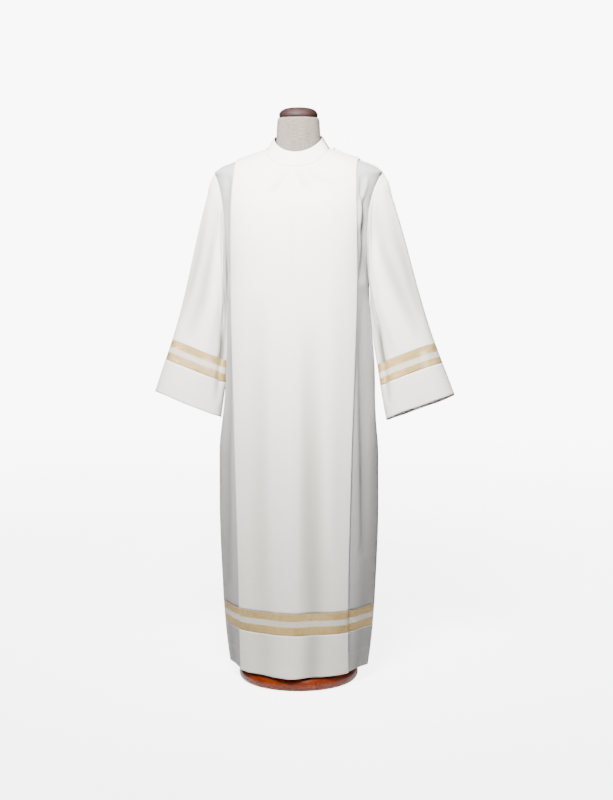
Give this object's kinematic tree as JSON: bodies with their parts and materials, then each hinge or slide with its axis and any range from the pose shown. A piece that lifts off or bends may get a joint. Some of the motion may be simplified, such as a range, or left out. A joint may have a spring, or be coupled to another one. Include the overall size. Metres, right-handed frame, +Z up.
{
  "type": "alb robe on dress form",
  "caption": "Long ivory alb with box-pleated front, stand collar, shoulder zip and gold openwork bands, worn by a limbless dress form on a round wooden base.",
  "frame": {"origin": "on the floor under the centre of the round base", "axes": "+Z up, the robe's front faces -Y, +X is the wearer's left"},
  "size_m": [0.8848, 0.3745, 1.678],
  "materials": {
    "ivory_cloth": "matte, fine plain weave",
    "gold_openwork": "drawn-thread openwork with gold thread",
    "beige_linen": "coarse linen",
    "polished_wood": "gloss varnish",
    "dark_wood": "satin varnish",
    "brushed_steel": "brushed",
    "ivory_nylon": "satin",
    "nickel": "plated"
  },
  "bodies": {
    "alb_and_form": {"front": "ivory_cloth", "back": "ivory_cloth", "hem_front": "ivory_cloth", "hem_back": "ivory_cloth", "skirt_band_front": "gold_openwork", "skirt_band_back": "gold_openwork", "sleeve_left": "ivory_cloth", "sleeve_right": "ivory_cloth", "sleeve_band_left": "gold_openwork", "sleeve_band_right": "gold_openwork", "cuff_left": "ivory_cloth", "cuff_right": "ivory_cloth", "collar": "ivory_cloth", "zip_welt_front": "ivory_cloth", "zip_welt_back": "ivory_cloth", "zip_chain": "ivory_nylon", "zip_slider": "nickel", "form_torso": "beige_linen", "neck_cap": "dark_wood", "stand_pole": "brushed_steel", "stand_base": "polished_wood"},
    "pull_tab": {"zip_pull": "nickel"}
  },
  "joints": [
    {"name": "pull_tab_hinge", "type": "hinge", "parent": "alb_and_form", "child": "pull_tab", "pos_m": [0.10507, 0, 1.5621], "axis": [0, -1, 0], "range_deg": [0, 100]}
  ]
}
